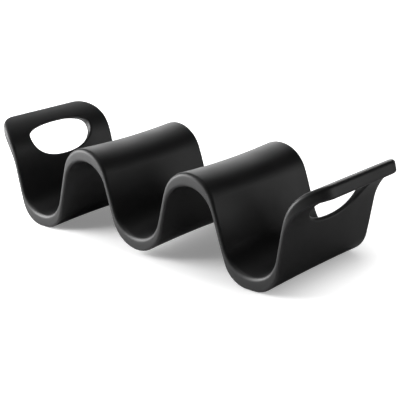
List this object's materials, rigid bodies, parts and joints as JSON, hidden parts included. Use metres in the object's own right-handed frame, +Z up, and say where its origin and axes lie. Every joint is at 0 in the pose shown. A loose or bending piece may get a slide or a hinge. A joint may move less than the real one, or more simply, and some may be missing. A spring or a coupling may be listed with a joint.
{
  "type": "taco holder",
  "caption": "Wavy one-piece stand that keeps filled tacos upright in rounded troughs, with an end wall at each side flaring into a handle with an oval finger hole.",
  "frame": {"origin": "middle of the rectangle under the holder, on the table", "axes": "+X along the row of troughs from handle to handle, +Y across the holder, +Z up"},
  "size_m": [0.2134, 0.0684, 0.052],
  "materials": {
    "sheet": "satin black, moulded through, with a fine even grain"
  },
  "bodies": {
    "root": {"taco_holder": "sheet"}
  },
  "joints": []
}
